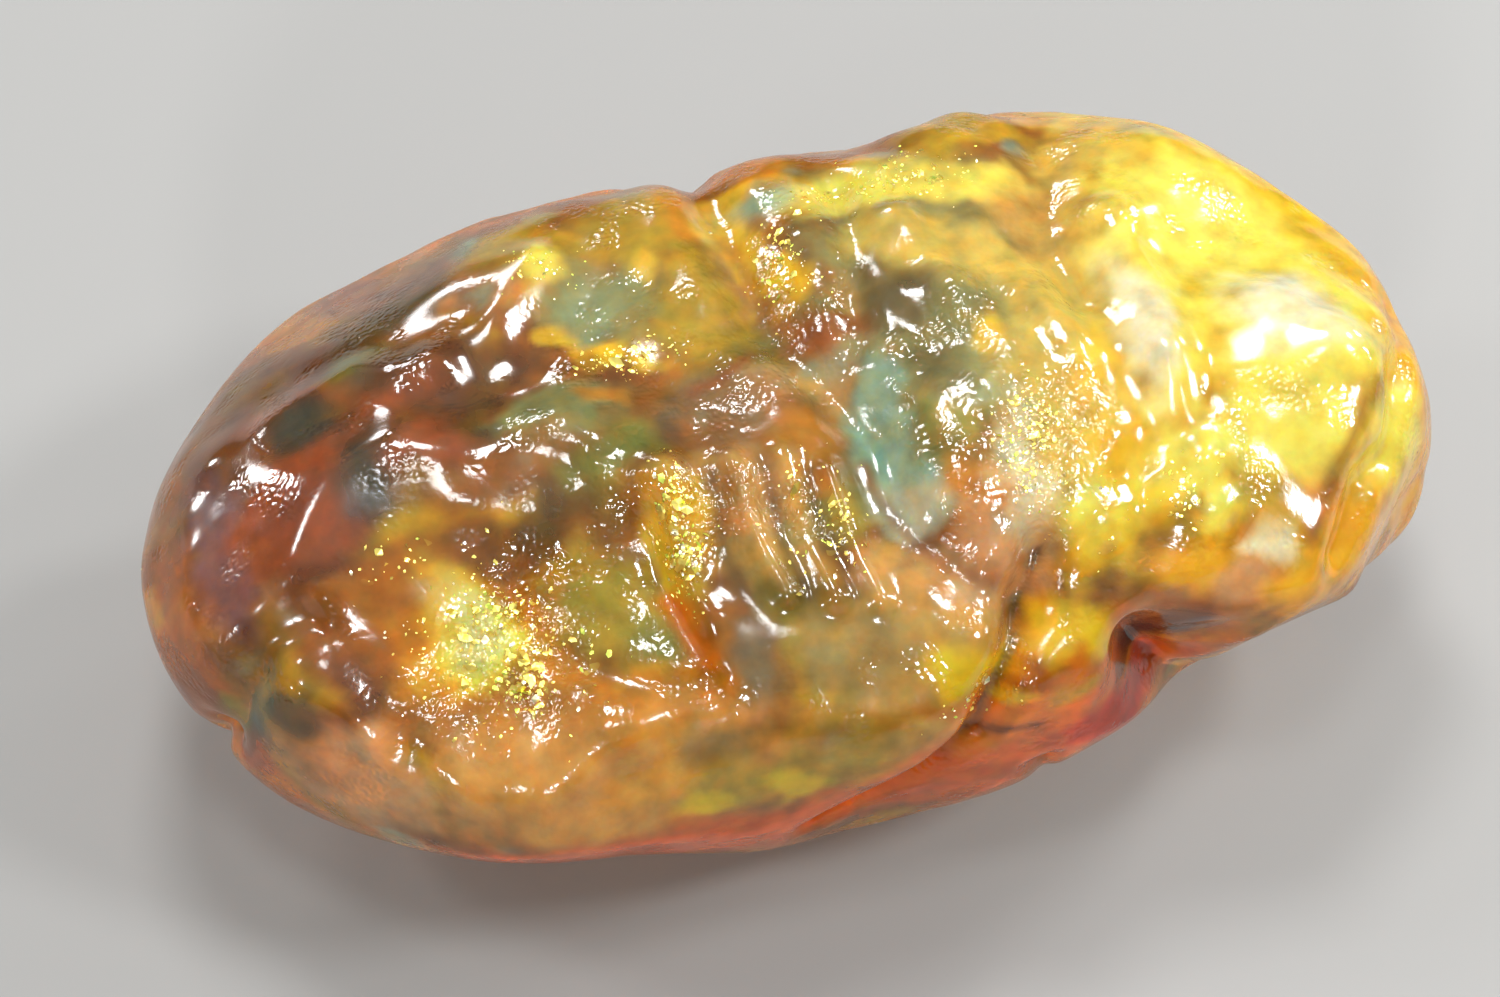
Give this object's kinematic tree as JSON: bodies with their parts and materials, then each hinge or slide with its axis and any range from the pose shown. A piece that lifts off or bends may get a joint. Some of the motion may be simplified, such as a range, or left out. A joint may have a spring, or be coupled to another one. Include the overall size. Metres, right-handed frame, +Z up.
{
  "type": "rough amber",
  "caption": "Rough lump of see-through amber: two lobes with a waist between them, chipped hollows, short ribs and gold and green flashes inside. It lies on a small flat face.",
  "frame": {"origin": "middle of the underside of the box, on the flat face that the lump lies on", "axes": "+X along the lump towards the domed golden lobe, +Y towards the back, +Z up from the flat face"},
  "size_m": [0.036, 0.0212, 0.0152],
  "materials": {
    "amber": "glossy, wet-looking, see-through amber, red-brown at the left lobe and golden at the right one"
  },
  "bodies": {
    "root": {"amber_lump": "amber"}
  },
  "joints": []
}
